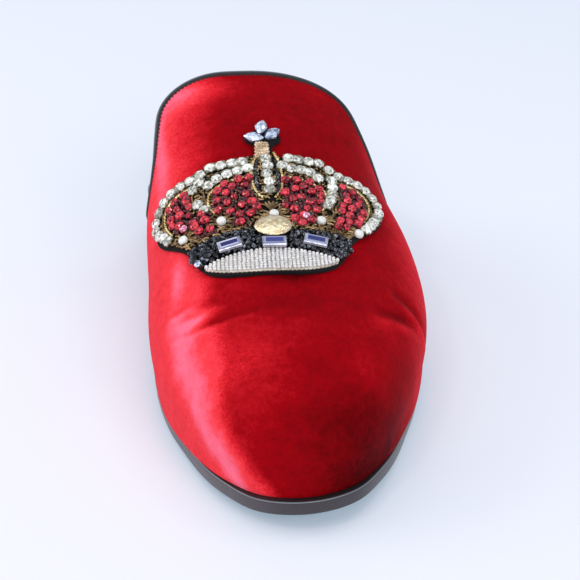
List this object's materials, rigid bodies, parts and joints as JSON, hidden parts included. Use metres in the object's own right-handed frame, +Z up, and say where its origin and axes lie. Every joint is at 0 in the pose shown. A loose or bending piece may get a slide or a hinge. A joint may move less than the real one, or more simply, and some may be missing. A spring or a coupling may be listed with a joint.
{
  "type": "backless slipper",
  "caption": "Backless left slipper: hollow red velvet upper with broad tongue, leather-bound topline and jewelled crown on the vamp, black insole, thin leather sole with low heel.",
  "frame": {"origin": "middle of the shoe's length and width on the floor plane it stands on", "axes": "+Y from toe to heel, +X to the outer side of the left foot, +Z up"},
  "size_m": [0.1022, 0.2916, 0.082],
  "materials": {
    "sole_leather": "dyed and burnished",
    "heel_leather": "stacked, dyed and burnished",
    "heel_rubber": "matt moulded",
    "sock_leather": "smooth black",
    "velvet": "silky short-pile velvet",
    "binding_leather": "smooth black",
    "crown_felt": "black felt",
    "crown_silver": "silver-lined seed beads",
    "crown_jet": "polished jet beads",
    "crown_gold": "gilt",
    "crown_crystal": "cut and foiled"
  },
  "bodies": {
    "root": {"outsole": "sole_leather", "heel_stack": "heel_leather", "heel_top_lift": "heel_rubber", "insole": "sock_leather", "upper": "velvet", "topline_binding": "binding_leather", "crown_backing": "crown_felt", "crown_bead_band": "crown_silver", "crown_jet_band": "crown_jet", "crown_plaque": "crown_gold", "crown_neck": "crown_gold", "crown_stone_medial": "crown_crystal", "crown_stone_middle": "crown_crystal", "crown_stone_lateral": "crown_crystal", "crown_post": "crown_crystal", "crown_petal_medial": "crown_crystal", "crown_petal_top": "crown_crystal", "crown_petal_lateral": "crown_crystal", "crown_rim_medial": "crown_crystal", "crown_rim_lateral": "crown_crystal"}
  },
  "joints": []
}
